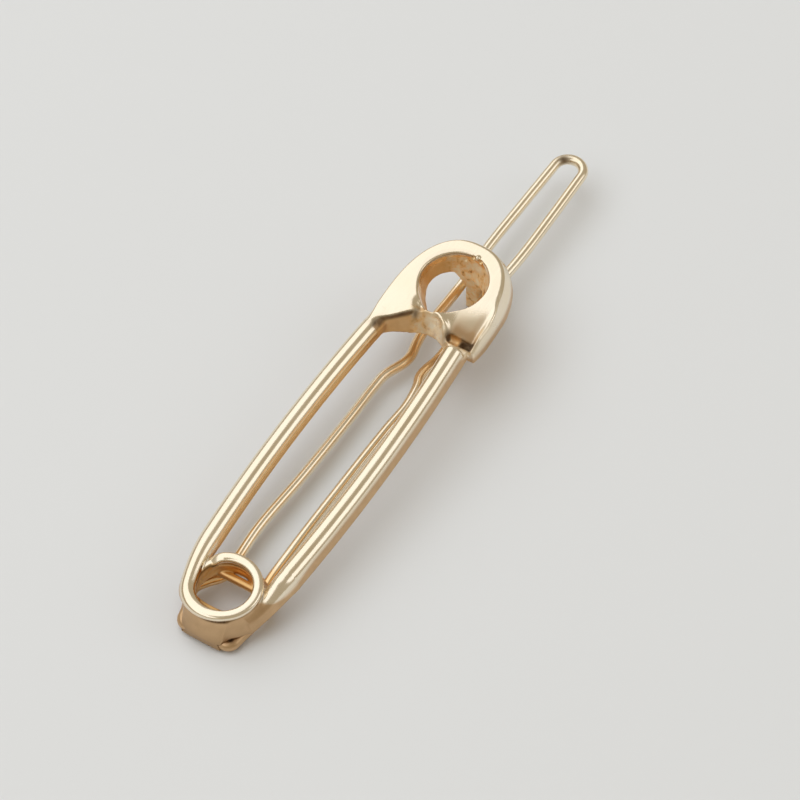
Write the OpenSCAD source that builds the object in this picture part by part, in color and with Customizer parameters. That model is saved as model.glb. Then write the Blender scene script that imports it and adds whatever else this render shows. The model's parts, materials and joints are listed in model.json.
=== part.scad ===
// Hairpin: a front shaped like a closed pin (two bowed arms, a two-turn coil, a pierced head)
// and a sprung U of wire that swings on a block under the coil and snaps over a post under the head.
// Millimetres. Origin: middle of the footprint, on the surface the clip lies on.
// +X from the coil towards the wire's tail, +Y to the left, +Z up with the polished face up.
// The front is drawn in its own frame (z = 0 on the polished face, x = 0 at the coil's centre)
// and laid down at the slope it takes when it rests on its block and post.

/* [Lie] */
// slope of the polished face when the clip lies on its block and post, degrees
lie_slope = 5; // [0:0.5:8]
// height of the polished face above the surface at the coil's centre
face_height = 5.25; // [5:0.05:7]
// distance from the coil's centre to the middle of the footprint
origin_shift = 34.2; // [20:0.05:50]

/* [Arms] */
// width of an arm across its round top
arm_w = 2.3; // [1.6:0.05:3]
// how far an arm's outer wall spreads at its underside
arm_spread = 0.35; // [0:0.05:0.6]
// height of an arm
arm_h = 2.2; // [1.5:0.05:3]
// radius of the arms' slow outward bow
bow_r = 230; // [100:5:500]
// place along the clip where the arms are furthest apart
bow_x = 20.5; // [15:0.5:26]
// place along the clip where the slow bow meets the tighter root
root_x = 4.75; // [4:0.05:7]
// angle at which an arm leaves the coil, degrees
root_angle = 25.5; // [15:0.5:30]

/* [Coil] */
// radius of the upper turn's centre line
coil_r = 3.6; // [3:0.02:5]
// thickness of the upper turn
turn_t = 1.16; // [1:0.02:2]
// height of the upper turn
turn_h = 1.6; // [1:0.05:2]
// radius of the lower turn's centre line
low_r = 3.94; // [3:0.02:5]
// thickness of the lower turn
low_t = 1.5; // [1:0.02:2]
// reach of the lower turn's straight far side, from the coil's centre
low_chord = 2.35; // [2:0.05:3]

/* [Head] */
// place along the clip of the head's widest part
head_x = 41.6; // [38:0.1:46]
// half length of the head's outline
head_a = 9.9; // [8:0.1:13]
// half width of the head's face
head_b = 6.2; // [5:0.1:8]
// squareness of the outline, 2 being an ellipse
head_n = 2.28; // [2:0.02:3]
// thickness of the head
head_t = 3.3; // [2:0.1:5]
// thickness of the head's two shoulders where the arms join
shoulder_t = 2.3; // [1.8:0.1:3.3]
// outward flare of the head's sides from face to underside
head_flare = 0.45; // [0:0.05:1.5]
// outward flare of the head's far end from face to underside
head_end_flare = 0.9; // [0:0.05:1.5]
// plane where the left arm ends and the head begins
neck_x = 36.4; // [35:0.1:38]
// plane where the right arm ends, under the recess in its shoulder
right_neck_x = 38.4; // [36:0.1:39.5]
// place of the round hole's centre
hole_x = 46; // [43:0.1:48]
// radius of the round hole at the face
hole_r = 3.8; // [2.5:0.05:4.5]
// radius of the round hole at the underside
hole_low_r = 2.95; // [2:0.05:4.5]
// place of the pointed end of the hole
tip_x = 41.1; // [40:0.1:43]
// centre of the round arch between the arms
arch_x = 36.2; // [34:0.1:38]
// radius of that arch at the face
arch_r = 4.3; // [3:0.05:5]
// radius of that arch at the underside
arch_low_r = 3.85; // [3:0.05:5]

/* [Hinge block] */
// radius of the block's rounded knuckle round the hinge line
knuckle_r = 0.84; // [0.8:0.02:1.2]
// far face of the block
block_x1 = -2.4; // [-3:0.1:-2]
// width of the block
block_w = 4.7; // [3:0.1:6]
// place of the hinge line along the clip
pivot_x = -4.25; // [-4.4:0.05:-3.6]
// depth of the hinge line below the polished face
pivot_z = -4.05; // [-4.5:0.05:-3.9]
// running clearance between the wire end and its bore, on the radius
pivot_clear = 0.05; // [0.02:0.01:0.1]

/* [Catch post] */
// near face of the post
post_x0 = 49.2; // [48:0.1:50]
// far face of the post
post_x1 = 51.6; // [50.5:0.1:53]
// width of the post's neck, between the wire legs
neck_w = 1.7; // [1.2:0.05:2.4]
// width of the post's foot, below the wire legs
foot_w = 1.9; // [1.4:0.05:2.2]
// width of the gusset where it meets the head
gusset_w = 6.4; // [4:0.1:8]

/* [Wire] */
// diameter of the wire
wire_d = 1.2; // [0.8:0.05:1.4]
// centre line radius of the elbow between a pivot end and its leg
elbow_r = 0.85; // [0.7:0.05:1.2]
// hidden gap between the tips of the two pivot ends
tip_gap = 0.8; // [0.4:0.1:2]
// half width of the tail's round end, on the centre line
tail_r = 1.75; // [1.2:0.05:2.5]

/* [Output] */
// node to draw

/* [Hidden] */
$fn = 64;
wire_r = wire_d / 2;
turn_r = turn_t / 2;
low_out = low_r + low_t / 2;
low_z = -turn_h - low_t;
// root arc that carries an arm from the coil into the slow bow
beta = asin((bow_x - root_x) / bow_r);
root_r = (root_x + coil_r * sin(root_angle)) / (sin(root_angle) - sin(beta));
root_cx = root_x + root_r * sin(beta);
root_cy = coil_r * cos(root_angle) - root_r * cos(root_angle);
root_y = root_cy + root_r * cos(beta);
bow_cy = root_y - bow_r * cos(beta);
function bow_end(x) = asin((x - bow_x) / bow_r);
root_steps = 8;
root_small = turn_t / arm_w;
elbow_y = block_w / 2 + 0.15;
elbow_x = pivot_x + elbow_r;
leg_y = elbow_y + elbow_r;
floor_low = -14;
gold = [0.86, 0.74, 0.52];
pale = [0.9, 0.8, 0.6];

// left leg, from the elbow to the start of the tail
left_route = [[elbow_x, leg_y, pivot_z], [-2.9, leg_y, pivot_z], [-1.8, 3.5, pivot_z], [0.2, 3.6, -4.05], [1.8, 2.8, -3.95], [4, 2.5, -3.85],
    [9.5, 2.35, -3.85], [18, 2.15, -4.55], [28, 2.15, -5.35], [32.2, 2.25, -5.7], [34.4, 2.15, -5.85], [36.9, 1.25, -6.0], [38.2, 1.1, -6.1],
    [39.8, 1.45, -6.2], [41.8, 1.75, -6.35], [45, 1.7, -6.55], [50, 1.7, -6.85], [56.5, 1.98, -7.2]];
// right leg
right_route = [[elbow_x, -leg_y, pivot_z], [-1.2, -leg_y, pivot_z], [1.8, -2.8, -3.95], [4, -2.5, -3.85],
    [9.5, -2.35, -3.85], [18, -2.2, -4.55], [28, -2.15, -5.35], [32, -2.25, -5.7], [34.8, -1.85, -5.85], [36.2, -1.35, -5.95], [37.6, -1.4, -6.05],
    [39.2, -1.7, -6.2], [45, -1.7, -6.55], [50, -1.7, -6.85], [56.5, -1.98, -7.2]];
// half of the tail loop
tail_start = [56.5, 1.98, -7.2];
tail_mid = [62.75, 1.92, -7.53];
tail_end = [70.5, 1.75, -7.85];

// lays the drawn front and wire down on the surface
module place() translate([-origin_shift, 0, face_height]) rotate([0, -lie_slope, 0]) children();
// everything above the surface
module above() intersection() { children(); translate([-100, -50, 0]) cube([200, 100, 60]); }

// section across an arm, its round top at zero height
module arm_section(s = 1) scale(s) {
    translate([0, -arm_w / 2]) circle(d = arm_w);
    polygon([[-arm_w / 2, -arm_w / 2], [arm_w / 2, -arm_w / 2], [arm_w / 2 + arm_spread, -arm_h], [-arm_w / 2, -arm_h]]);
}

// one thin slice of the arm's tapering root, t from 0 at the bow to 1 at the coil, dropped by d
module root_slice(t, d) {
    a = beta + (root_angle - beta) * t;
    s = 0.99 + (root_small - 0.99) * max(t, 0);
    translate([root_cx - root_r * sin(a), root_cy + root_r * cos(a), -d - 0.01 * (1 - t)])
        rotate([0, 0, a]) rotate([90, 0, 90]) translate([0, 0, -0.005]) linear_extrude(0.01) scale([s, s]) arm_section();
}

function drop(t, total) = total * t * t * (3 - 2 * t);

// the arm's root, its top falling by total where it reaches the coil
module root(total) for (i = [0:root_steps - 1]) hull() {
    root_slice(i == 0 ? -0.03 : i / root_steps, drop(i / root_steps, total), $fn = 32);
    root_slice((i + 1) / root_steps, drop((i + 1) / root_steps, total), $fn = 32);
}

// the long bowed part of an arm
module bow(end) translate([bow_x, bow_cy, 0]) rotate([0, 0, 90 - bow_end(end)])
    rotate_extrude(angle = bow_end(end) + beta, $fn = 96) translate([bow_r, 0]) arm_section();

module upper_section() translate([coil_r, -turn_r]) {
    circle(r = turn_r);
    translate([-0.5, turn_r - turn_h]) square([1, turn_h - turn_r]);
}
module lower_section() translate([low_r, -turn_h]) {
    translate([0, -low_t / 2]) circle(d = low_t);
    translate([-0.7, -low_t / 2]) square([1.4, low_t / 2]);
}
module lower_ring() rotate_extrude() lower_section();

module left_arm() color(gold) place() {
    bow(neck_x);
    difference() { root(0); translate([0, 0, -4]) cylinder(r = low_out + 0.005, h = 4.005 - turn_h); }
}

module right_arm() color(gold) place() mirror([0, 1, 0]) {
    bow(right_neck_x);
    difference() { root(turn_h); translate([0, 0, -4]) cylinder(r = low_out + 0.005, h = 6); }
}

module coil_upper_turn() color(gold) place() difference() {
    rotate([0, 0, 90 + root_angle]) rotate_extrude(angle = 321) upper_section();
    intersection() {
        translate([root_cx, root_cy, 0]) difference() {
            translate([0, 0, -4]) cylinder(r = root_r + 3, h = 6);
            translate([0, 0, -5]) cylinder(r = root_r - 1.02, h = 8);
        }
        translate([0.5, 2, -3]) cube([6, 5, 4]);
    }
}

module coil_lower_turn() color(gold) place() {
    lower_ring();
    intersection() {
        translate([0, 0, low_z + 0.2]) cylinder(r = low_r - 0.4, h = low_t - 0.2);
        translate([low_chord, -4, low_z]) cube([3, 8, low_t]);
    }
}

// half outline of the head as a power curve
function head_edge(k, end, side) = let (c = cos(k), s = sin(k))
    [head_x + (head_a + end) * sign(c) * pow(abs(c), 2 / head_n), (head_b + side) * sign(s) * pow(abs(s), 2 / head_n)];
module head_outline(end, side) polygon([for (k = [0:6:354]) head_edge(k, end, side)]);

module head_shell() {
    hull() {
        translate([0, 0, -head_t]) linear_extrude(0.01) head_outline(head_end_flare, head_flare);
        translate([0, 0, -1.4]) linear_extrude(0.01) head_outline(head_end_flare * 0.6, head_flare * 0.75);
        translate([0, 0, -0.5]) linear_extrude(0.01) head_outline(0.1, 0.1);
        translate([0, 0, -0.01]) linear_extrude(0.01) head_outline(-0.6, -0.6);
    }
}

module head_cut() {
    translate([hole_x, 0, -head_t - 0.5]) cylinder(r1 = hole_low_r - 0.13, r2 = hole_r + 0.13, h = head_t + 1);
    translate([0, 0, -head_t - 1]) linear_extrude(head_t + 2)
        polygon([[tip_x, 0], [hole_x - hole_low_r * 0.75, hole_low_r * 0.66], [hole_x, 0], [hole_x - hole_low_r * 0.75, -hole_low_r * 0.66]]);
    translate([0, 0, -1.2]) linear_extrude(3)
        polygon([[tip_x, 0], [hole_x - hole_r * 0.76, hole_r * 0.65], [hole_x, 0], [hole_x - hole_r * 0.76, -hole_r * 0.65]]);
    translate([arch_x, 0, -head_t - 1]) cylinder(r1 = arch_low_r - 0.12, r2 = arch_r + 0.12, h = head_t + 2);
    translate([20, -10, -6]) cube([neck_x - 20, 20, 8]);
    translate([20, -10, -6]) cube([right_neck_x - 20, 10, 8]);
    translate([neck_x, -10, -head_t]) rotate([90, 0, 180]) translate([-5, -1, -20]) linear_extrude(20)
        polygon([[5, 0], [5, 1 + head_t - shoulder_t], [0, 1], [0, 0]]);
}

module head() color(gold) place() difference() { head_shell(); head_cut(); }

module hinge_block() color(gold) above() place() difference() {
    union() {
        translate([pivot_x, -block_w / 2, -8]) cube([block_x1 - pivot_x, block_w, 8 - turn_h - low_t / 2]);
        translate([pivot_x - knuckle_r, -block_w / 2, pivot_z]) cube([knuckle_r + 0.1, block_w, -turn_h - low_t / 2 - pivot_z]);
        translate([pivot_x, block_w / 2, pivot_z]) rotate([90, 0, 0]) cylinder(r = knuckle_r, h = block_w);
    }
    lower_ring();
    translate([pivot_x, block_w, pivot_z]) rotate([90, 0, 0]) cylinder(r = wire_r + pivot_clear, h = 2 * block_w);
}

module catch_post() color(gold) above() place() translate([post_x0, 0, 0]) rotate([90, 0, 90])
    linear_extrude(post_x1 - post_x0) polygon([
        [gusset_w / 2, -head_t], [1.9, -head_t - 0.9], [neck_w / 2, -5.9], [neck_w / 2, -7.6], [foot_w / 2, -7.9], [foot_w / 2, floor_low],
        [-foot_w / 2, floor_low], [-foot_w / 2, -7.9], [-neck_w / 2, -7.6], [-neck_w / 2, -5.9], [-1.9, -head_t - 0.9], [-gusset_w / 2, -head_t]]);

// unit vector along v
function unit(v) = v / norm(v);
// smooth curve through a route's points, four steps to a stretch
function curve(q, n = 4) = concat([for (i = [0:len(q) - 2]) let (
    a = i == 0 ? 2 * q[0] - q[1] : q[i - 1], b = q[i], c = q[i + 1], d = i == len(q) - 2 ? 2 * c - b : q[i + 2])
    for (k = [0:n - 1]) let (t = k / n)
        0.5 * (2 * b + (c - a) * t + (2 * a - 5 * b + 4 * c - d) * t * t + (3 * b - a - 3 * c + d) * t * t * t)], [q[len(q) - 1]]);
// quarter turn from the hinge line into a leg, side 1 or -1
function elbow(side) = [for (a = [180:-15:105]) [elbow_x + elbow_r * cos(a), side * (elbow_y + elbow_r * sin(a)), pivot_z]];
// round wire along points, its first and last faces square to the directions given
module tube(q, first, last, n = 16) {
    m = len(q);
    dirs = [for (i = [0:m - 1]) i == 0 ? unit(first) : i == m - 1 ? unit(last) : unit(unit(q[i + 1] - q[i]) + unit(q[i] - q[i - 1]))];
    rings = [for (i = [0:m - 1]) let (a = unit(cross([0, 0, 1], dirs[i])), b = cross(dirs[i], a))
        for (k = [0:n - 1]) q[i] + wire_r * (cos(360 * k / n) * a + sin(360 * k / n) * b)];
    sides = [for (i = [0:m - 2]) for (k = [0:n - 1]) let (l = (k + 1) % n)
        each [[i * n + k, (i + 1) * n + k, (i + 1) * n + l], [i * n + k, (i + 1) * n + l, i * n + l]]];
    caps = [[for (k = [0:n - 1]) k], [for (k = [n - 1:-1:0]) (m - 1) * n + k]];
    polyhedron(points = rings, faces = concat(sides, caps));
}

tail_dir = tail_mid - tail_start;
module left_wire_leg() color(pale) place() tube(concat(elbow(1), curve(left_route)), [0, 1, 0], tail_dir);
module right_wire_leg() color(pale) place()
    tube(concat(elbow(-1), curve(right_route)), [0, -1, 0], [tail_dir[0], -tail_dir[1], tail_dir[2]]);

module wire_tail_loop() color(pale) place() {
    half = [tail_start, tail_mid, tail_end];
    bend = [for (a = [75:-15:0]) [tail_end[0] + tail_r * cos(a), tail_r * sin(a), tail_end[2] - 0.04 * tail_r * cos(a)]];
    left = concat(half, bend);
    right = [for (i = [len(left) - 2:-1:0]) [left[i][0], -left[i][1], left[i][2]]];
    tube(concat(left, right), tail_dir, [-tail_dir[0], tail_dir[1], -tail_dir[2]]);
}

module pivot_end() translate([pivot_x, elbow_y, pivot_z]) rotate([90, 0, 0]) cylinder(d = wire_d, h = elbow_y - tip_gap / 2);
module left_pivot_end() color(pale) place() pivot_end();
module right_pivot_end() color(pale) place() mirror([0, 1, 0]) pivot_end();

left_arm();
right_arm();
coil_upper_turn();
coil_lower_turn();
head();
hinge_block();
catch_post();
left_wire_leg();
right_wire_leg();
wire_tail_loop();
left_pivot_end();
right_pivot_end();
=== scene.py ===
import json
import math

import bpy
import numpy as np
from mathutils import Matrix, Vector

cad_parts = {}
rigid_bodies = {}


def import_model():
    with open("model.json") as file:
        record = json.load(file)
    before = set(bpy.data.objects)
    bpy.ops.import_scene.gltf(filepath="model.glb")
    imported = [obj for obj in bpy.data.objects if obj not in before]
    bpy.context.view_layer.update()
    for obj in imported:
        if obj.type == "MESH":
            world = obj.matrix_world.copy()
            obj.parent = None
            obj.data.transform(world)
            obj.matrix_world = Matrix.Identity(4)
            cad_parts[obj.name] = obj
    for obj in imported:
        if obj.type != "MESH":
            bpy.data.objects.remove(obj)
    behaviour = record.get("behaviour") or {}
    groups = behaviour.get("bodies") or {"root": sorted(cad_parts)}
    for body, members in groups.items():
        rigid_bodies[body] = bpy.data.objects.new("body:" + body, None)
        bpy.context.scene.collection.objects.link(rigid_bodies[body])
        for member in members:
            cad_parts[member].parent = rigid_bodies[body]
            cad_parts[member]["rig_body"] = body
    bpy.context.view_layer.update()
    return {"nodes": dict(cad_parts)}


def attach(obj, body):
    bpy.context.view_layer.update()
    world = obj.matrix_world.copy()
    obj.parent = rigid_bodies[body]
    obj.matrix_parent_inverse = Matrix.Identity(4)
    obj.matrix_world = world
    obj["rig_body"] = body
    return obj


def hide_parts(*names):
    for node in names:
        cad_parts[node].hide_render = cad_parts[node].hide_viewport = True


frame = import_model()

# The front and the wire are shaped in the clip's own frame, in millimetres: x from the coil towards the tail,
# y to the left, z = 0 on the polished face. place() lays them down in the frame of the CAD, in metres.
LIE, SHIFT, HEIGHT = math.radians(5.0), 34.2, 5.25
COS, SIN = math.cos(LIE), math.sin(LIE)


def place(p):
    x, y, z = p[:, 0], p[:, 1], p[:, 2]
    return np.stack([COS * x - SIN * z - SHIFT, y, SIN * x + COS * z + HEIGHT], 1) * 0.001


# ---------------------------------------------------------------- distances
def smin(a, b, k):
    h = np.clip(0.5 + 0.5 * (b - a) / k, 0, 1)
    return b + (a - b) * h - k * h * (1 - h)


def smax(a, b, k):
    return -smin(-a, -b, k)


def step(a, b, x):
    t = np.clip((x - a) / (b - a), 0, 1)
    return t * t * (3 - 2 * t)


def hill(x, y, cx, cy, rx, ry, turned=0.0):
    """A smooth bump of height 1 over an ellipse."""
    c, s = math.cos(turned), math.sin(turned)
    u, v = ((x - cx) * c + (y - cy) * s) / rx, ((y - cy) * c - (x - cx) * s) / ry
    return np.exp(-(u * u + v * v))


LATTICE = np.random.default_rng(7).random((23, 23, 23)).astype(np.float32)


def noise(x, y, z, size):
    """Smooth value noise from -1 to 1."""
    p = np.stack([x, y, z], 0) / size + 100.0
    i = np.floor(p).astype(np.int64)
    f = (p - i).astype(np.float32)
    f = f * f * (3 - 2 * f)
    total = 0
    for dx in (0, 1):
        for dy in (0, 1):
            for dz in (0, 1):
                w = (f[0] if dx else 1 - f[0]) * (f[1] if dy else 1 - f[1]) * (f[2] if dz else 1 - f[2])
                total = total + w * LATTICE[(i[0] + dx) % 23, (i[1] + dy) % 23, (i[2] + dz) % 23]
    return total * 2 - 1


DEGREES = np.arange(-180, 181)


def outline_table(points, cx, cy, blur=4.0):
    """Radius for every degree around (cx, cy), through an outline's points, evened out."""
    x, y = np.array(points, float).T
    line = np.interp(DEGREES[:-1], np.degrees(np.arctan2(y - cy, x - cx)), np.hypot(x - cx, y - cy), period=360)
    k = np.exp(-(DEGREES[:-1] / blur) ** 2)
    even = np.real(np.fft.ifft(np.fft.fft(line) * np.fft.fft(np.fft.ifftshift(k / k.sum()))))
    return np.append(even, even[0])


def radius_at(table, x, y, cx, cy):
    return np.interp(np.degrees(np.arctan2(y - cy, x - cx)), DEGREES, table)


# arms: a slow bow, and a tighter root that runs into the coil
BOW_R, BOW_X, BOW_CY = 230.0, 20.5, 5.443 - 230.0
ARM_W = 2.3
BETA = math.asin((BOW_X - 4.75) / BOW_R)


def root_of(radius, angle):
    r = (4.75 + radius * math.sin(angle)) / (math.sin(angle) - math.sin(BETA))
    return 4.75 + r * math.sin(BETA), (radius - r) * math.cos(angle), r


def section(u, w, height=2.2, spread=0.35):
    """Across an arm: round on top, its outer wall leaning out towards the underside."""
    top = np.hypot(u, w + ARM_W / 2) - ARM_W / 2
    outer = (u - ARM_W / 2) * 0.9487 + (w + ARM_W / 2) * 0.3162
    body = smax(smax(-u - ARM_W / 2, outer, 0.02), -height - w, 0.4)
    return np.minimum(top, np.maximum(body, w + ARM_W / 2))


def arm(x, y, z, side, radius, angle, width, total, low, end):
    y = y * side
    cx, cy, r = root_of(radius, angle)
    a = np.arctan2(cx - x, y - cy)
    t = (a - BETA) / (angle - BETA)
    lateral = np.where(t > 0, np.hypot(x - cx, y - cy) - r, np.hypot(x - BOW_X, y - BOW_CY) - BOW_R)
    t = np.clip(t, 0, 1)
    s = 1 + (width / ARM_W - 1) * step(0.0, 1.0, t) * 0.5 + (width / ARM_W - 1) * t * 0.5
    fall = total * step(low, 1.0, t)
    d = s * section(lateral / s, (z + fall) / s)
    d = np.maximum(d, (a - angle) * r - 0.3)
    return np.maximum(d, x - end), t


UPPER_R, UPPER_A = 3.87, math.radians(19.55)
LOWER_R, LOWER_A = 3.93, math.radians(19.3)
START = 90 + 19.55


def upper_turn(x, y, z):
    rho = np.hypot(x, y)
    th = (np.degrees(np.arctan2(y, x)) - 95) % 360 + 95
    w = np.interp(th, [START, 128, 150, 180, 214, 455], [1.72, 1.7, 1.56, 1.32, 1.16, 1.14])
    fall = 1.5 * step(392, 446, th)
    tall = np.interp(th, [START, 150, 190, 392, 455], [1.6, 1.25, 0.84, 0.84, 0.98])
    u, v = rho - (3.02 + w / 2), z + fall
    s = w / ARM_W
    flat = s * section(u / s, v / s, height=2.2, spread=0.35)
    a, b = w / 2, tall / 2
    n = 2.6
    e, f = np.abs(u) / a, np.abs(v + b) / b
    q = np.maximum((e ** n + f ** n) ** (1 / n), 1e-3)
    round_ = (q - 1) / np.maximum(np.hypot((e / q) ** (n - 1) / a, (f / q) ** (n - 1) / b), 1e-3)
    m = step(START, 165, th)
    d = flat * (1 - m) + round_ * m
    along = np.minimum(th - START + 5.0, 447 - th) * math.pi / 180 * 3.6
    return smax(d, -along, 0.25)


def lower_turn(x, y, z):
    rho = np.hypot(x, y)
    wall = (rho - 4.04) * 0.955 + (z + 1.0) * 0.297
    # two soft beads round the inside
    inner = 3.26 - 0.15 * np.abs(np.sin(math.pi * (z + 0.68) / 1.2))
    d = smax(smax(wall, inner - rho, 0.2), smax(z + 0.68, -3.1 - 0.27 * step(-1.5, -3.0, y) - z, 0.2), 0.2)
    bar = np.hypot(x - 2.45, z + 2.8) - 0.5
    bar = np.maximum(bar, np.abs(y) - 2.6)
    return smin(d, bar, 0.12)


def world_z(x, z):
    return SIN * x + COS * z + HEIGHT


def block(x, y, z):
    px, pz, r = -4.25, -4.05, 0.84
    qx, qz = px - x, pz - z
    d = np.hypot(np.maximum(qx, 0), np.maximum(qz, 0)) + np.minimum(np.maximum(qx, qz), 0) - r
    d = smax(d, x + 2.4, 0.25)
    # the near face rounds back up to the coil
    d = smax(d, (np.hypot(x, y) - 4.05) * 0.91 + (z + 1.0) * 0.415, 0.4)
    d = smax(d, z + 0.8, 0.2)
    d = smax(d, np.abs(y - 0.15) - 2.5, 0.1)
    return smax(d, -world_z(x, z), 0.08)


def outline(x, y, a, b):
    n = 2.4
    u, v = np.abs(x - 41.6) / a, np.abs(y + 0.18) / b
    f = np.maximum((u ** n + v ** n) ** (1 / n), 1e-3)
    return (f - 1) / np.maximum(np.hypot((u / f) ** (n - 1) / a, (v / f) ** (n - 1) / b), 0.02)


def head_top(x, y):
    """Height of the head's face: a flat left lobe, a saddle at the bridge, and a right lobe dished towards its shoulder."""
    top = -0.10 * step(3.2, 6.4, y) * step(47, 40, x)
    # saddle between the lobes, beside the narrow bridge
    top = top - 0.42 * hill(x, y, 41.0, 1.25, 1.0, 0.5, 0.6)
    # right lobe, falling ever faster to the pocket behind the arm's end, with a valley inside the right shoulder
    way = 0.83 * (44.6 - x) + 0.56 * (-3.6 - y)
    fall, rest = np.clip(way, 0, 3.1), np.maximum(way - 3.1, 0)
    top = top - (0.067 * fall ** 2 + 0.415 * rest) * step(-1.2, -3.0, y) * step(46.5, 44.5, x)
    # raised rim along the arch, from the bridge round to the pocket
    rim = np.hypot(x - 36.2, y)
    top = top + 0.2 * np.exp(-((rim - 4.85) / 0.3) ** 2) * step(0.9, -0.1, y) * step(-3.6, -2.2, y)
    shoulder = step(45.8, 42.5, x)
    return top + shoulder * (0.25 + 0.5 * step(42.8, 40.5, x)) * (1.3 * step(-5.75, -6.45, y))


def head(x, y, z):
    left = np.interp(-z, [0, 0.5, 1.4, 3.3], [0.0, 0.12, 0.34, 0.45])
    right = np.interp(-z, [0, 0.5, 1.4, 2.3, 3.3], [0.0, 0.26, 0.66, 0.82, 0.86])
    near = np.interp(-z, [0, 0.5, 1.4, 2.3, 3.3], [0.42, 0.56, 0.74, 0.75, 0.72])
    right = right + (near - right) * step(46.5, 43.5, x)
    far = np.interp(-z, [0, 0.5, 1.4, 3.3], [0.0, 0.2, 0.58, 0.9])
    d = outline(x, y, 9.9 + far, 5.95 + left + (right - left) * step(1.5, -2.5, y))
    d = smax(d, z - head_top(x, y), 0.32)
    bottom = -2.3 - step(36.4, 41.4, x) * 1.0
    return smax(d, bottom - z, 0.15)


HOLE = (45.7, -0.1)
HOLE_TOP = outline_table([(40.8, 0.5), (41.3, 1.35), (42.1, 2.2), (43.2, 3.0), (44.5, 3.55), (45.8, 3.72), (47.1, 3.42), (48.4, 2.62),
                          (49.25, 1.64), (49.7, 0.51), (49.8, -0.7), (49.5, -1.8), (48.7, -2.8), (47.6, -3.58), (46.25, -3.98),
                          (44.95, -3.9), (43.6, -3.45), (42.35, -2.35), (41.3, -1.05), (40.85, -0.2)], *HOLE)
HOLE_LOW = outline_table([(41.75, 0.1), (42.4, 1.2), (43.35, 2.05), (44.5, 2.85), (45.8, 3.36), (46.8, 3.34), (47.8, 2.95), (48.5, 2.25),
                          (48.85, 1.3), (48.9, 0.1), (48.6, -1.3), (47.7, -2.4), (46.2, -2.95), (44.6, -2.6), (43.0, -1.9),
                          (42.0, -0.9)], *HOLE)


def hole(x, y, z):
    """The round hole with its blunt point, narrowing downwards."""
    t = np.clip(-z / 3.3, -0.1, 1.1)
    top, low = radius_at(HOLE_TOP, x, y, *HOLE), radius_at(HOLE_LOW, x, y, *HOLE)
    return np.hypot(x - HOLE[0], y - HOLE[1]) - (top + (low - top) * t)


ARCH = (36.2, 0.0)
ARCH_TOP = outline_table([(31.4, 0.0), (36.2, 4.95), (36.9, 4.95), (37.35, 4.65), (37.65, 4.2), (38.22, 3.48), (38.85, 2.87),
                          (39.5, 2.3), (40.1, 1.75), (40.5, 1.1), (40.75, 0.3), (40.72, -0.85), (40.4, -1.7), (39.8, -2.5),
                          (39.0, -3.2), (36.2, -4.3)], *ARCH, blur=3.0)
ARCH_LOW = outline_table([(31.6, 0.0), (35.8, 4.5), (36.78, 4.0), (37.64, 3.26), (38.31, 2.38), (38.93, 1.45), (39.5, 0.53),
                          (39.75, -0.34), (39.6, -1.48), (38.95, -2.55), (37.9, -3.4), (36.2, -3.9)], *ARCH)


def arch(x, y, z):
    t = np.clip(-z / 2.7, -0.05, 1.25)
    top, low = radius_at(ARCH_TOP, x, y, *ARCH), radius_at(ARCH_LOW, x, y, *ARCH)
    return np.hypot(x - ARCH[0], y - ARCH[1]) - (top + (low - top) * t)


def rough_places(x, y, z):
    """From 0 to 1: where the casting was left rough, inside the hole's far wall, on the catch and in the pockets."""
    rho = np.hypot(x - 46, y)
    m = step(-0.35, -0.9, z) * step(46.6, 48.2, x - 0.55 * y) * step(4.7, 4.1, rho)
    m = np.maximum(m, 0.45 * step(-3.0, -3.6, z) * step(48.0, 49.0, x))
    m = np.maximum(m, hill(x, y, 40.2, 1.6, 0.6, 0.45))
    m = np.maximum(m, hill(x, y, 39.4, -4.6, 0.7, 1.5) * step(-0.3, -0.8, z))
    rim = np.hypot(x - 36.2, y)
    m = np.maximum(m, step(4.95, 4.5, rim) * step(1.9, 1.0, y) * step(-3.6, -2.6, y) * step(38, 39, x) * (0.5 + 0.25 * step(-1.0, 0.6, y)))
    m = m * (1 - hill(x, y, 49.75, -0.75, 0.4, 0.4) * step(-0.6, -0.35, z))
    m = m * (1 - step(0.9, 0.6, np.sqrt((x - 47.25) ** 2 + (y + 3.2) ** 2 + (z + 2.5) ** 2)))
    return np.clip(m, 0, 1)


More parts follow.
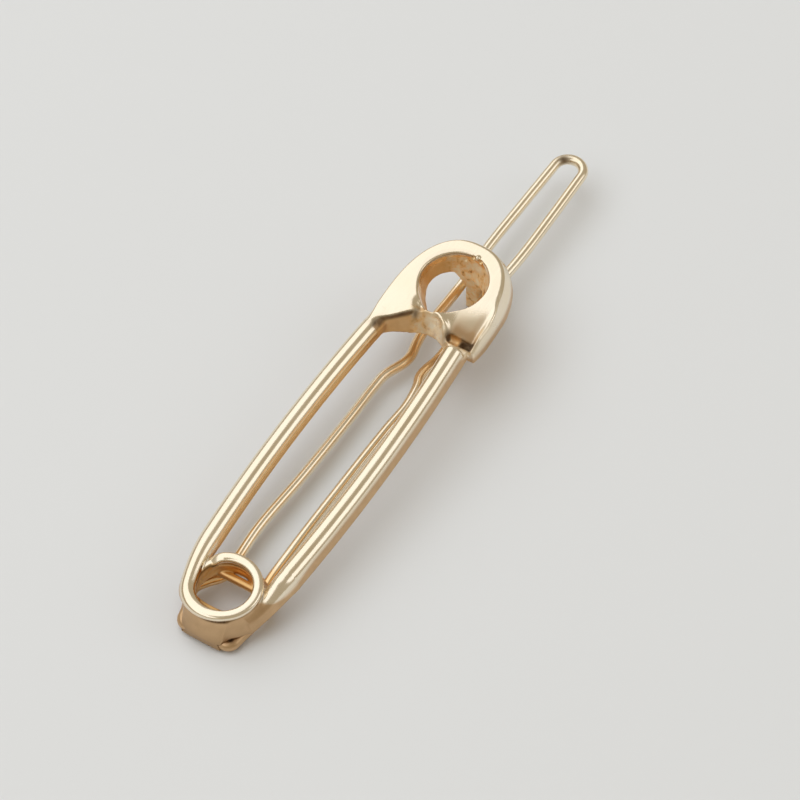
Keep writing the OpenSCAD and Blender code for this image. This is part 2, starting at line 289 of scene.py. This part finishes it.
def painted_shade(x, y, z):
    """From 0 to 1: painted shade in corners and creases, under the edge of the arch, behind the arm's end, in the pit,
    beside the right elbow and under the coil, and darker towards the bottom of the block.
    """
    turned = np.degrees(np.arctan2(y, x - 36.2))
    wall = step(0.0, -0.1, z) * step(-0.85, -0.4, z) * step(10, 26, turned) * step(92, 80, turned) * step(4.9, 4.4, np.hypot(x - 36.2, y) * step(0, 1, x - 30))
    m = wall * (x > 30) * 0.85
    m = np.maximum(m, 1.2 * hill(x, y, 36.5, 4.6, 0.55, 0.5) * step(0.05, -0.15, z) * step(-1.6, -1.0, z))
    m = np.maximum(m, hill(x, y, 40.15, 1.45, 0.45, 0.35) * 0.8)
    m = np.maximum(m, np.exp(-((z + 0.2) / 0.13) ** 2) * step(4.3, 4.0, np.hypot(x - 46, y)) * step(-0.4, 0.8, y + 0.5 * (x - 48)) * 0.6)
    along = np.clip((-3.1 - y) / 2.7, 0, 1)
    line = np.hypot(x - 39.62 - 0.15 * along, y + 3.1 + 2.7 * along)
    m = np.maximum(m, np.exp(-(line / 0.5) ** 2) * step(-0.25, -0.6, z) * step(-2.4, -1.8, z) * 1.3 * (1 - step(-4.7, -4.2, y) * step(-3.1, -3.4, y) * step(-0.85, -1.15, z)))
    m = np.maximum(m, np.exp(-((x + 3.75) ** 2 + (y + 2.35) ** 2) / 0.2) * step(-5.2, -4.6, z) * step(-2.6, -3.2, z))
    m = np.maximum(m, 0.28 * step(41.7, 40.3, x) * step(39.3, 39.8, x) * step(-2.9, -3.5, y) * step(-6.0, -5.5, y) * step(-1.7, -1.4, z))
    m = np.maximum(m, 0.75 * step(0.6, 0.25, np.sqrt((x - 47.25) ** 2 + (y + 3.35) ** 2 + (z + 2.5) ** 2)))
    m = np.maximum(m, 0.3 * step(-2.2, -4.2, z) * step(-1.5, -3.0, x) + 0.1 * step(-1.0, -2.0, z) * step(1.0, -1.0, x))
    rho = np.hypot(x, y)
    m = np.maximum(m, 0.9 * np.exp(-((z + 0.82) / 0.13) ** 2) * step(3.5, 3.3, rho) * step(-1.0, 0.5, x + 0.5 * y))
    m = np.maximum(m, np.exp(-((z + 0.76) / 0.15) ** 2) * step(3.6, 3.85, rho) * step(4.4, 4.2, rho) * step(2.5, 0.5, x))
    return np.clip(m, 0, 1)


def gold_reflection_places(x, y, z):
    """From 0 to 1: painted reflection of gold in gold, deeper orange on inner walls that only see other gold."""
    lean = np.abs(y) - (BOW_CY + np.sqrt(BOW_R ** 2 - (x - BOW_X) ** 2))
    m = step(-0.25, -0.8, lean) * step(-0.3, -0.9, z) * step(3.5, 5, x) * step(38, 36.5, x)
    m = np.maximum(m, step(3.45, 3.3, np.hypot(x, y)) * step(-0.3, -0.8, z))
    m = m * (1 - 0.3 * step(1.7, 2.0, x) * step(3.0, 2.8, x) * step(-2.2, -2.5, z))
    m = np.maximum(m, step(4.6, 4.2, np.hypot(x - 46, y)) * step(-0.2, -0.6, z))
    m = np.maximum(m, step(-4.7, -4.2, y) * step(-3.1, -3.4, y) * step(-0.85, -1.15, z) * step(-2.4, -1.8, z) * step(38.8, 39.1, x) * step(40.4, 40.0, x))
    m = np.maximum(m, 0.4 * step(5.2, 4.9, np.hypot(x - 36.2, y)) * step(-0.3, -0.7, z) * step(0.0, 1.0, y) * (x > 36))
    m = np.maximum(m, step(0.75, 0.5, np.sqrt((x - 47.25) ** 2 + (y + 3.2) ** 2 + (z + 2.5) ** 2)))
    return np.clip(m, 0, 1)


def catch(x, y, z):
    """Gusset under the head, a neck between the wire's legs and a small foot."""
    half = np.interp(-z, [3.0, 3.4, 4.2, 5.1, 5.9, 7.6, 7.9, 14], [3.2, 3.1, 1.95, 1.2, 0.85, 0.85, 0.95, 0.95])
    near = np.interp(-z, [3.0, 4.6, 6.0], [49.0, 49.25, 49.3])
    d = smax(np.abs(y) - half, np.maximum(near - x, x - 51.6), 0.3)
    d = np.maximum(d * 0.8, z + 2.9)
    return smax(d, -world_z(x, z), 0.1)


def front(p):
    """Distance to the surface of the whole front, one casting."""
    x, y, z = p[:, 0], p[:, 1], p[:, 2]
    left, _ = arm(x, y, z + 0.16 * step(36.0, 38.4, x), 1, UPPER_R, UPPER_A, 1.72, 0.0, 0.0, 38.6)
    right, _ = arm(x, y, z, -1, LOWER_R, LOWER_A, 1.62, 1.55, 0.12, 39.2)
    # the right arm's round end under the head's pocket
    end = 38.35 - 0.12 * (y + 5)
    right = smax(right, np.where(z > -1.35, x - end, -9.0), 0.5)
    h = head(x, y, z)
    h = smax(h, -arch(x, y, z), 0.1 + 0.3 * step(0.9, -0.1, y) * step(-3.6, -2.8, y))
    h = np.where(y > 0, smax(h, 36.35 + 0.45 * step(5.2, 4.7, y) - x, 0.45), np.maximum(h, 38.9 - x))
    h = smin(h, left, 0.3)
    under = np.maximum(np.maximum(right, z + 1.2), -9.0)
    h = smin(h, under, 0.25)
    h = np.minimum(h, right)
    h = smin(h, catch(x, y, z), 0.35)
    h = smax(h, -hole(x, y, z), 0.09)
    # nick where the left arm's shoulder meets the arch
    along = np.clip((x - 36.3) / 0.7, 0, 1)
    nick = np.sqrt((x - 36.3 - 0.7 * along) ** 2 + (y - 4.95 + 0.65 * along) ** 2 + (z + 0.55 * along - 0.08) ** 2) - 0.26
    h = smax(h, -nick, 0.1)
    # groove behind the right arm's end
    along = np.clip((-3.5 - y) / 2.25, 0, 1)
    groove = np.sqrt((x - 39.58 - 0.07 * along) ** 2 + (y + 3.5 + 2.25 * along) ** 2 + ((z + 1.3) * 0.8) ** 2) - 0.5
    h = smax(h, -groove, 0.12)
    pit = np.sqrt(((x - 47.25) / 0.5) ** 2 + ((y + 3.2) / 0.45) ** 2 + ((z + 2.5) / 0.5) ** 2)
    h = smax(h, (1 - pit) * 0.42, 0.1)
    # a small bead and two pits that the casting kept on the hole's rim
    h = smin(h, np.sqrt((x - 49.75) ** 2 + (y + 0.75) ** 2 + (z + 0.12) ** 2) - 0.3, 0.1)
    for bx, by, bz, br in ((49.72, -0.25, -0.3, 0.22), (49.62, -1.3, -0.35, 0.22), (49.5, 0.65, -0.95, 0.25)):
        h = smax(h, br - np.sqrt((x - bx) ** 2 + (y - by) ** 2 + (z - bz) ** 2), 0.08)
    up = upper_turn(x, y, z)
    d = np.minimum(h, smin(up, left, 0.005 + 0.25 * step(-0.6, 0.4, x)))
    low = lower_turn(x, y, z)
    low = smin(low, block(x, y, z), 0.9)
    low = smin(low, right, 0.6)
    # groove that parts the two turns
    low = smax(low, 0.15 - np.hypot(np.hypot(x, y) - 4.06, z + 0.7) - 0.6 * step(-0.5, 2.0, x), 0.06)
    d = smin(d, low, 0.08)
    bore = np.hypot(x + 4.25, z + 4.05) - 0.61
    d = smax(d, -np.maximum(bore, np.abs(y) - 3.2), 0.06)
    m = rough_places(x, y, z)
    near = (m > 0.02) & (np.abs(d) < 0.6)
    if near.any():
        q = p[near]
        n = 0.065 * noise(q[:, 0], q[:, 1], q[:, 2], 0.75) + 0.02 * noise(q[:, 0], q[:, 1], q[:, 2], 0.42)
        d = d.copy()
        d[near] += m[near] * n
    return np.maximum(d, -world_z(x, z))


# ---------------------------------------------------------------- mesh
def spread(*runs):
    """Grid lines: (start, end, step), one run after another."""
    out = [runs[0][0]]
    for a, b, s in runs:
        n = max(1, round((b - a) / s))
        out += [a + (b - a) * (i + 1) / n for i in range(n)]
    return np.array(out)


def net(f, xs, ys, zs):
    """A closed quad mesh where f is zero, one vertex in each cell that the surface crosses."""
    shape = (len(xs), len(ys), len(zs))
    values = np.empty(shape, np.float32)
    gy, gz = np.meshgrid(ys, zs, indexing="ij")
    gy, gz = gy.ravel(), gz.ravel()
    for i0 in range(0, len(xs), 24):
        part = xs[i0:i0 + 24]
        p = np.stack([np.repeat(part, len(gy)), np.tile(gy, len(part)), np.tile(gz, len(part))], 1)
        values[i0:i0 + 24] = f(p).reshape(len(part), len(ys), len(zs))
    inside = values < 0
    corners = [(i, j, k) for i in (0, 1) for j in (0, 1) for k in (0, 1)]
    count = sum(inside[i:shape[0] - 1 + i, j:shape[1] - 1 + j, k:shape[2] - 1 + k].astype(np.int8) for i, j, k in corners)
    active = (count > 0) & (count < 8)
    where = np.argwhere(active)
    index = np.full(active.shape, -1, np.int64)
    index[active] = np.arange(len(where))
    i, j, k = where.T
    total, hits = np.zeros((len(where), 3)), np.zeros(len(where))
    for axis in range(3):
        for a in (0, 1):
            for b in (0, 1):
                lo = [0, 0, 0]
                others = [n for n in range(3) if n != axis]
                lo[others[0]], lo[others[1]] = a, b
                hi = list(lo)
                hi[axis] = 1
                v0 = values[i + lo[0], j + lo[1], k + lo[2]]
                v1 = values[i + hi[0], j + hi[1], k + hi[2]]
                cross = (v0 < 0) != (v1 < 0)
                t = np.where(cross, v0 / np.where(cross, v0 - v1, 1), 0)
                p0 = np.stack([xs[i + lo[0]], ys[j + lo[1]], zs[k + lo[2]]], 1)
                p1 = np.stack([xs[i + hi[0]], ys[j + hi[1]], zs[k + hi[2]]], 1)
                total += np.where(cross[:, None], p0 + (p1 - p0) * t[:, None], 0)
                hits += cross
    points = total / hits[:, None]
    quads = []
    a = inside[:-1, 1:-1, 1:-1] != inside[1:, 1:-1, 1:-1]
    i, j, k = np.argwhere(a).T
    j, k = j + 1, k + 1
    q = np.stack([index[i, j - 1, k - 1], index[i, j, k - 1], index[i, j, k], index[i, j - 1, k]], 1)
    quads.append(np.where(inside[i, j, k][:, None], q, q[:, ::-1]))
    a = inside[1:-1, :-1, 1:-1] != inside[1:-1, 1:, 1:-1]
    i, j, k = np.argwhere(a).T
    i, k = i + 1, k + 1
    q = np.stack([index[i - 1, j, k - 1], index[i - 1, j, k], index[i, j, k], index[i, j, k - 1]], 1)
    quads.append(np.where(inside[i, j, k][:, None], q, q[:, ::-1]))
    a = inside[1:-1, 1:-1, :-1] != inside[1:-1, 1:-1, 1:]
    i, j, k = np.argwhere(a).T
    i, j = i + 1, j + 1
    q = np.stack([index[i - 1, j - 1, k], index[i, j - 1, k], index[i, j, k], index[i - 1, j, k]], 1)
    quads.append(np.where(inside[i, j, k][:, None], q, q[:, ::-1]))
    return points, np.concatenate(quads)


def slope_of(f, p, h=0.02):
    g = np.zeros_like(p)
    for axis in range(3):
        d = np.zeros(3)
        d[axis] = h
        g[:, axis] = (f(p + d) - f(p - d)) / (2 * h)
    return g


def settle(f, points, quads, rounds=3, most=0.05):
    """Evens the vertices out along the surface and brings them back onto it."""
    edges = np.concatenate([quads[:, [a, b]] for a, b in ((0, 1), (1, 2), (2, 3), (3, 0))])
    ends = np.concatenate([edges, edges[:, ::-1]])
    degree = np.bincount(ends[:, 0], minlength=len(points)).astype(float)
    for n in range(rounds):
        mean = np.stack([np.bincount(ends[:, 0], points[ends[:, 1], a], len(points)) for a in range(3)], 1) / degree[:, None]
        g = slope_of(f, points)
        unit = g / np.maximum(np.linalg.norm(g, axis=1, keepdims=True), 1e-6)
        move = mean - points
        move -= (move * unit).sum(1, keepdims=True) * unit
        points = points + 0.6 * move
        for _ in range(2):
            g = slope_of(f, points) if _ == 0 else g
            d = f(points)
            length = np.maximum((g * g).sum(1), 0.15)
            shift = g * (d / length)[:, None]
            size = np.linalg.norm(shift, axis=1, keepdims=True)
            points = points - shift * np.minimum(1, most / np.maximum(size, 1e-9))
    return points


def mesh_object(name, points, faces, smooth=True):
    me = bpy.data.meshes.new(name)
    if isinstance(faces, np.ndarray):
        n = faces.shape[1]
        me.vertices.add(len(points))
        me.vertices.foreach_set("co", points.astype(np.float32).ravel())
        me.loops.add(faces.size)
        me.loops.foreach_set("vertex_index", faces.astype(np.int32).ravel())
        me.polygons.add(len(faces))
        me.polygons.foreach_set("loop_start", np.arange(0, faces.size, n, dtype=np.int32))
    else:
        me.from_pydata(points.tolist(), [], faces)
    me.update(calc_edges=True)
    me.validate()
    if smooth:
        me.polygons.foreach_set("use_smooth", np.ones(len(me.polygons), bool))
    ob = bpy.data.objects.new(name, me)
    bpy.context.scene.collection.objects.link(ob)
    return ob


def attribute(ob, name, values):
    a = ob.data.attributes.new(name, "FLOAT", "POINT")
    a.data.foreach_set("value", values.astype(np.float32))


fine = 0.121
xs = spread((-5.6, 5.6, fine), (5.6, 33.6, fine * 2.2), (33.6, 53.4, fine))
ys = spread((-7.2, 7.2, fine))
zs = spread((-9.85, 0.5, fine))
points, quads = net(front, xs, ys, zs)
points = settle(front, points, quads, 3)
casting = mesh_object("front_casting", place(points), quads)
attribute(casting, "rough_cast", rough_places(points[:, 0], points[:, 1], points[:, 2]))
px, py, pz = points.T
# painted shade: the lower sides turn brown for the shaded floor they reflect, and the arch's wall is darkened too
in_arch = step(5.1, 4.95, np.hypot(px - 36.2, py)) * (px > 36)
coil, flank = step(3.6, -0.6, px), step(37.5, 39.5, px) * step(-3.5, -4.5, py)
_, t = arm(px, py, pz, -1, LOWER_R, LOWER_A, 1.62, 1.55, 0.12, 39.2)
upper = -0.95 + 0.33 * coil - 0.6 * flank + 0.42 * step(4, 8, px) * step(38.5, 37, px) * step(0, -1, py) - 1.3 * step(0.12, 1.0, t) * (1 - coil) * step(0, -1, py)
painted_side_shade = np.maximum(step(0, -0.65 + 0.5 * coil - 0.3 * flank, pz - upper), in_arch * step(-0.05, -0.25, pz) * step(-0.2, 0.8, py))
painted_side_shade *= 1 - 0.9 * in_arch * step(0.4, -0.6, py)
# painted shade on the right lobe's slope towards the pocket and in the valley inside its shoulder
lobe = step(38.9, 39.5, px) * step(43.2, 40.6, px) * step(-2.6, -3.6, py) * step(-6.1, -5.4, py) * step(-1.6, -1.3, pz)
valley = np.exp(-((py + 5.35) / 0.35) ** 2) * step(44.5, 42.5, px) * step(38.5, 39.5, px) * step(-1.6, -1.3, pz)
attribute(casting, "painted_side_shade", np.maximum(painted_side_shade, np.minimum(0.4 * lobe + 0.6 * lobe * step(42.0, 40.6, px) + 0.4 * valley, 1)))
attribute(casting, "satin", step(44.5, 42.5, px) * step(-1.8, -3.0, py) * (px > 38))
# painted reflection: inner walls tinted deep orange for the gold they reflect
attribute(casting, "painted_gold_reflection", gold_reflection_places(px, py, pz))
# painted shade: near black in corners, creases and recesses, and darker towards the bottom of the block
attribute(casting, "painted_shade", painted_shade(px, py, pz))
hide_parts("left_arm", "right_arm", "coil_upper_turn", "coil_lower_turn", "head", "hinge_block", "catch_post")
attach(casting, "front")

# ---------------------------------------------------------------- wire
WIRE_R = 0.6


def smooth_route(q, n):
    """A smooth curve through a route's points."""
    q = np.array(q, float)
    out = []
    for i in range(len(q) - 1):
        a = 2 * q[0] - q[1] if i == 0 else q[i - 1]
        b, c = q[i], q[i + 1]
        d = 2 * c - b if i == len(q) - 2 else q[i + 2]
        steps = max(4, int(np.linalg.norm(c - b) / n))
        # spacing by chord length keeps tight bends from overshooting
        ta, tb, tc = np.sqrt(np.linalg.norm(b - a)), np.sqrt(np.linalg.norm(c - b)), np.sqrt(np.linalg.norm(d - c))
        m1 = ((b - a) / ta - (c - a) / (ta + tb) + (c - b) / tb) * tb
        m2 = ((c - b) / tb - (d - b) / (tb + tc) + (d - c) / tc) * tb
        for k in range(steps):
            t = k / steps
            out.append(b * (2 * t ** 3 - 3 * t ** 2 + 1) + m1 * (t ** 3 - 2 * t ** 2 + t)
                       + c * (-2 * t ** 3 + 3 * t ** 2) + m2 * (t ** 3 - t ** 2))
    out.append(q[-1])
    return out


LEFT = [(-3.4, 3.2, -4.05), (-2.6, 3.4, -4.05), (-1.2, 4.0, -4.05), (0.1, 4.15, -4.08), (1.4, 3.4, -4.12), (2.8, 2.3, -4.12), (4.2, 2.15, -4.0),
        (9.5, 2.35, -3.85), (18, 2.15, -4.55), (28, 2.15, -5.35), (32.2, 2.25, -5.7), (34.4, 2.15, -5.85), (36.9, 1.25, -6.0),
        (38.2, 1.1, -6.1), (39.8, 1.45, -6.2), (41.8, 1.75, -6.35), (45, 1.7, -6.55), (50, 1.7, -6.85), (56.5, 1.98, -7.2),
        (62.75, 1.92, -7.53), (70.5, 1.75, -7.85)]
RIGHT = [(-3.4, -3.35, -4.05), (-2.6, -3.47, -4.05), (-1.1, -3.75, -4.05), (0.3, -3.95, -4.05), (1.5, -3.45, -4.0), (2.8, -2.75, -3.92), (4.2, -2.45, -3.85), (9.5, -2.35, -3.85), (18, -2.2, -4.55),
         (28, -2.15, -5.35), (32, -2.25, -5.7), (34.8, -1.85, -5.85), (36.2, -1.35, -5.95), (37.6, -1.4, -6.05), (39.2, -1.7, -6.2),
         (45, -1.7, -6.55), (50, -1.7, -6.85), (56.5, -1.98, -7.2), (62.75, -1.92, -7.53), (70.5, -1.75, -7.85)]


def elbow(side):
    tip = [(-4.25, side * y, -4.05) for y in (0.4, 0.9, 1.5, 2.1)]
    out = 3.2 if side > 0 else 3.35
    bend = [(-3.4 + 0.85 * math.cos(math.radians(a)), side * (out - 0.85 + 0.85 * math.sin(math.radians(a))), -4.05)
            for a in range(180, 90, -9)]
    return tip + bend


left = elbow(1) + [tuple(p) for p in smooth_route(LEFT, 0.45)]
right = elbow(-1) + [tuple(p) for p in smooth_route(RIGHT, 0.45)]
bend = [(70.5 + 1.75 * math.cos(math.radians(a)), 1.75 * math.sin(math.radians(a)), -7.85 - 0.07 * math.cos(math.radians(a)))
        for a in range(81, -90, -9)]
path = np.array(left + bend + right[::-1])


def tube(path, radius, n):
    d = np.gradient(path, axis=0)
    d /= np.linalg.norm(d, axis=1, keepdims=True)
    a = np.array([0.0, 0.0, 1.0])
    rings = []
    for k in range(len(path)):
        a = a - d[k] * (a @ d[k])
        a /= np.linalg.norm(a)
        b = np.cross(d[k], a)
        t = np.arange(n) * 2 * math.pi / n
        rings.append(path[k] + radius[k] * (np.cos(t)[:, None] * a + np.sin(t)[:, None] * b))
    pts = np.concatenate(rings)
    m = len(path)
    faces = [[i * n + k, i * n + (k + 1) % n, (i + 1) * n + (k + 1) % n, (i + 1) * n + k] for i in range(m - 1) for k in range(n)]
    faces.append([k for k in range(n - 1, -1, -1)])
    faces.append([(m - 1) * n + k for k in range(n)])
    return pts, faces


pts, faces = tube(path, np.full(len(path), WIRE_R), 24)
wire = mesh_object("spring_wire", place(pts), faces)
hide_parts("left_wire_leg", "right_wire_leg", "wire_tail_loop", "left_pivot_end", "right_pivot_end")
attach(wire, "wire")
wx, wy, wz = pts.T
# painted shade: the wire near the hinge is tinted brown, as it lies in shade there
attribute(wire, "painted_side_shade", step(0.5, -2.0, wx))
# painted shade on the wire: in the gap inside the right elbow and on the inside of the tail's bend
elbow_gap_shade = np.exp(-((wx + 3.75) ** 2 + (wy + 3.05) ** 2 + (wz + 3.55) ** 2) / 0.07)
turned = np.exp(-((wx - 71.35) ** 2 + (wy - 1.05) ** 2) / 0.5) * step(2.2, 1.9, np.hypot(wx - 70.5, wy)) * step(-8.1, -7.7, wz)
attribute(wire, "painted_shade", np.clip(1.3 * elbow_gap_shade + turned, 0, 1))
# painted reflection: the wire is tinted orange near the coil and inside the hole and arch, for the gold around it
attribute(wire, "painted_gold_reflection", np.maximum(step(-2, 0, wx) * step(7, 4.5, wx) * 0.9, step(33, 37, wx) * step(49.5, 48.5, wx) * 0.6))


# ---------------------------------------------------------------- materials
def nodes_of(mat):
    mat.use_nodes = True
    nt = mat.node_tree
    nt.nodes.clear()
    out = nt.nodes.new("ShaderNodeOutputMaterial")
    bsdf = nt.nodes.new("ShaderNodeBsdfPrincipled")
    nt.links.new(bsdf.outputs["BSDF"], out.inputs["Surface"])
    return nt, bsdf


def coordinates(nt, scale):
    co = nt.nodes.new("ShaderNodeTexCoord")
    mp = nt.nodes.new("ShaderNodeMapping")
    mp.inputs["Scale"].default_value = scale
    nt.links.new(co.outputs["Object"], mp.inputs["Vector"])
    return mp.outputs["Vector"]


def noise_node(nt, vector, scale, detail=3.0, roughness=0.5):
    n = nt.nodes.new("ShaderNodeTexNoise")
    n.inputs["Scale"].default_value = scale
    n.inputs["Detail"].default_value = detail
    n.inputs["Roughness"].default_value = roughness
    nt.links.new(vector, n.inputs["Vector"])
    return n.outputs["Fac"]


def ramp(nt, fac, stops):
    r = nt.nodes.new("ShaderNodeValToRGB")
    while len(r.color_ramp.elements) < len(stops):
        r.color_ramp.elements.new(0.5)
    for e, (pos, col) in zip(r.color_ramp.elements, stops):
        e.position, e.color = pos, (*col, 1)
    nt.links.new(fac, r.inputs["Fac"])
    return r.outputs["Color"]


def mix(nt, fac, a, b, kind="MIX"):
    m = nt.nodes.new("ShaderNodeMix")
    m.data_type = "RGBA"
    m.blend_type = kind
    for socket, v in ((m.inputs["Factor"], fac), (m.inputs[6], a), (m.inputs[7], b)):
        if isinstance(v, (int, float)):
            socket.default_value = v
        elif isinstance(v, tuple):
            socket.default_value = (*v, 1)
        else:
            nt.links.new(v, socket)
    return m.outputs[2]


def math_node(nt, op, *values, clamp=False):
    m = nt.nodes.new("ShaderNodeMath")
    m.operation, m.use_clamp = op, clamp
    for socket, v in zip(m.inputs, values):
        if isinstance(v, (int, float)):
            socket.default_value = v
        else:
            nt.links.new(v, socket)
    return m.outputs[0]


def map_range(nt, v, a, b, c, d):
    m = nt.nodes.new("ShaderNodeMapRange")
    nt.links.new(v, m.inputs["Value"])
    for name, x in (("From Min", a), ("From Max", b), ("To Min", c), ("To Max", d)):
        m.inputs[name].default_value = x
    return m.outputs["Result"]


def bump(nt, height, distance, strength, below=None):
    b = nt.nodes.new("ShaderNodeBump")
    b.inputs["Strength"].default_value = strength
    b.inputs["Distance"].default_value = distance
    nt.links.new(height, b.inputs["Height"])
    if below is not None:
        nt.links.new(below, b.inputs["Normal"])
    return b.outputs["Normal"]


def painted(nt, name):
    """A value carried by the mesh's vertices."""
    at = nt.nodes.new("ShaderNodeAttribute")
    at.attribute_name = name
    return at.outputs["Fac"]


def plated(name, wire_like):
    """Champagne gold plating on polished metal: faint clouding, fine polishing lines, duller where the casting is
    rough; painted shade on the lower sides and in creases, and a painted orange reflection on inner walls.
    """
    mat = bpy.data.materials.new(name)
    nt, bsdf = nodes_of(mat)
    bsdf.inputs["Metallic"].default_value = 1.0
    even = coordinates(nt, (1000, 1000, 1000))
    along = coordinates(nt, (60, 900, 900))
    cloud = noise_node(nt, even, 0.16, 3, 0.55)
    fine_ = noise_node(nt, even, 3.2, 4, 0.6)
    lines = noise_node(nt, along, 4.5, 2, 0.5)
    tint = ramp(nt, cloud, [(0.32, (0.920, 0.795, 0.600)), (0.5, (0.935, 0.820, 0.635)), (0.7, (0.950, 0.840, 0.665))])
    shine = map_range(nt, cloud, 0.3, 0.7, 0.15, 0.22)
    shine = math_node(nt, "ADD", shine, map_range(nt, lines, 0.3, 0.7, -0.02, 0.03))
    normal = bump(nt, lines, 0.000004, 0.35)
    if wire_like:
        tint = mix(nt, map_range(nt, fine_, 0.45, 0.75, 0.0, 0.35), tint, (0.88, 0.68, 0.40))
    # painted shade: lower sides and shaded places turn brown, and rougher
    deep, blotch = painted(nt, "painted_side_shade"), noise_node(nt, even, 0.9, 4, 0.6)
    side = mix(nt, blotch, (0.50, 0.31, 0.15), (0.70, 0.46, 0.25))
    tint = mix(nt, math_node(nt, "MULTIPLY", deep, 0.92), tint, side)
    shine = math_node(nt, "ADD", shine, math_node(nt, "MULTIPLY", deep, 0.18))
    # painted reflection: deep orange where gold only sees other gold
    painted_gold_reflection = mix(nt, blotch, (0.80, 0.46, 0.15), (0.98, 0.64, 0.28))
    tint = mix(nt, math_node(nt, "MULTIPLY", painted(nt, "painted_gold_reflection"), 0.85), tint, painted_gold_reflection)
    if not wire_like:
        shine = math_node(nt, "ADD", shine, math_node(nt, "MULTIPLY", painted(nt, "satin"), 0.13))
        mask = painted(nt, "rough_cast")
        grain = noise_node(nt, even, 1.1, 5, 0.6)
        pits = noise_node(nt, even, 3.5, 3, 0.5)
        cast = ramp(nt, grain, [(0.33, (0.55, 0.27, 0.09)), (0.44, (1.0, 0.70, 0.34)), (0.62, (1.0, 0.88, 0.66))])
        tint = mix(nt, math_node(nt, "MULTIPLY", mask, 0.85), tint, cast)
        shine = math_node(nt, "ADD", shine, math_node(nt, "MULTIPLY", mask, map_range(nt, pits, 0.3, 0.7, 0.12, 0.4)), clamp=True)
        both = math_node(nt, "MULTIPLY", mask, math_node(nt, "ADD", grain, math_node(nt, "MULTIPLY", pits, 0.5)))
        normal = bump(nt, both, 0.00009, 0.6, normal)
    # painted shade: the metal turns near black and rougher in corners, creases and gaps
    dark = painted(nt, "painted_shade")
    tint = mix(nt, math_node(nt, "MULTIPLY", dark, map_range(nt, blotch, 0.35, 0.65, 0.7, 1.0)), tint, (0.12, 0.07, 0.035))
    shine = math_node(nt, "ADD", shine, math_node(nt, "MULTIPLY", dark, 0.25), clamp=True)
    nt.links.new(tint, bsdf.inputs["Base Color"])
    nt.links.new(shine, bsdf.inputs["Roughness"])
    nt.links.new(normal, bsdf.inputs["Normal"])
    return mat


casting.data.materials.append(plated("champagne_gold_casting", False))
wire.data.materials.append(plated("champagne_gold_wire", True))
# hidden CAD nodes keep the same finish, in case one is ever shown
for node in frame["nodes"].values():
    node.data.materials.clear()
    node.data.materials.append((wire if node["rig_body"] == "wire" else casting).data.materials[0])

# ---------------------------------------------------------------- floor
me = bpy.data.meshes.new("floor")
me.from_pydata([(-3, -3, 0), (3, -3, 0), (3, 3, 0), (-3, 3, 0)], [], [(0, 1, 2, 3)])
floor = bpy.data.objects.new("floor", me)
bpy.context.scene.collection.objects.link(floor)
mat = bpy.data.materials.new("pale_paper")
nt, bsdf = nodes_of(mat)
bsdf.inputs["Roughness"].default_value = 0.9
bsdf.inputs["Specular IOR Level"].default_value = 0.1
bsdf.inputs["Base Color"].default_value = (0.70, 0.70, 0.70, 1)
me.materials.append(mat)

# ---------------------------------------------------------------- light
world = bpy.data.worlds.new("studio")
bpy.context.scene.world = world
world.use_nodes = True
background = world.node_tree.nodes["Background"]
background.inputs["Color"].default_value = (1.0, 0.89, 0.70, 1)
background.inputs["Strength"].default_value = 0.42

CENTRE = Vector((0.0, 0.0, 0.005))


def softbox(name, azimuth, elevation, distance, width, height, power, colour=(1, 1, 1)):
    """A large soft light, azimuth from +X towards +Y."""
    a, e = math.radians(azimuth), math.radians(elevation)
    way = Vector((math.cos(a) * math.cos(e), math.sin(a) * math.cos(e), math.sin(e)))
    light = bpy.data.lights.new(name, "AREA")
    light.shape = "RECTANGLE"
    light.size, light.size_y = width, height
    light.energy = power
    light.color = colour
    ob = bpy.data.objects.new(name, light)
    bpy.context.scene.collection.objects.link(ob)
    ob.location = CENTRE + way * distance
    ob.rotation_euler = (-way).to_track_quat("-Z", "Y").to_euler()
    return ob


def overhead(name, near, far, inner, outer):
    """A level softbox one metre up, laid along a line that leaves a dark strip of studio on its right."""
    ob = softbox(name, 0, 90, 1.0, far - near, outer - inner, 2.85 * (far - near) * (outer - inner), SOFT)
    along, across = (near + far) / 2, (inner + outer) / 2
    ob.location = CENTRE + Vector((0.837 * along - 0.547 * across, 0.547 * along + 0.837 * across - 0.07, 1.0))
    ob.rotation_euler = (0, 0, math.radians(33.2))


SOFT = (0.85, 0.903, 1.0)
overhead("back_left_softbox", 0.05, 2.6, 0.0, 1.6)
overhead("left_softbox", -1.2, 0.05, 0.4, 1.6)
softbox("right_softbox", -62, 36, 1.0, 0.6, 0.6, 2.85 * 0.36, SOFT)
# the key only brightens the paper and the duller places, and gives the soft shadow
key = softbox("key", 105, 72, 1.5, 2.0, 2.0, 13, (0.88, 0.95, 1.0))
key.visible_glossy = False

# ---------------------------------------------------------------- camera
cam = bpy.data.cameras.new("camera")
cam.sensor_width = 36
cam.lens = 3670.6 * 36 / 800
cam.clip_start, cam.clip_end = 0.01, 20
camera = bpy.data.objects.new("camera", cam)
bpy.context.scene.collection.objects.link(camera)
e, phi = math.radians(51.2), math.radians(57.788)
right_ = Vector((math.cos(phi), -math.sin(phi), 0))
away = Vector((math.sin(phi), math.cos(phi), 0))
forward = away * math.cos(e) - Vector((0, 0, math.sin(e)))
up_ = away * math.sin(e) + Vector((0, 0, math.cos(e)))
target = Vector((-3.2647, -2.3136, 5.05)) * 0.001
camera.matrix_world = Matrix.Translation(target - forward * 0.4) @ Matrix((right_, up_, -forward)).transposed().to_4x4()
bpy.context.scene.camera = camera
bpy.context.scene.view_settings.view_transform = "Standard"

bpy.context.view_layer.update()
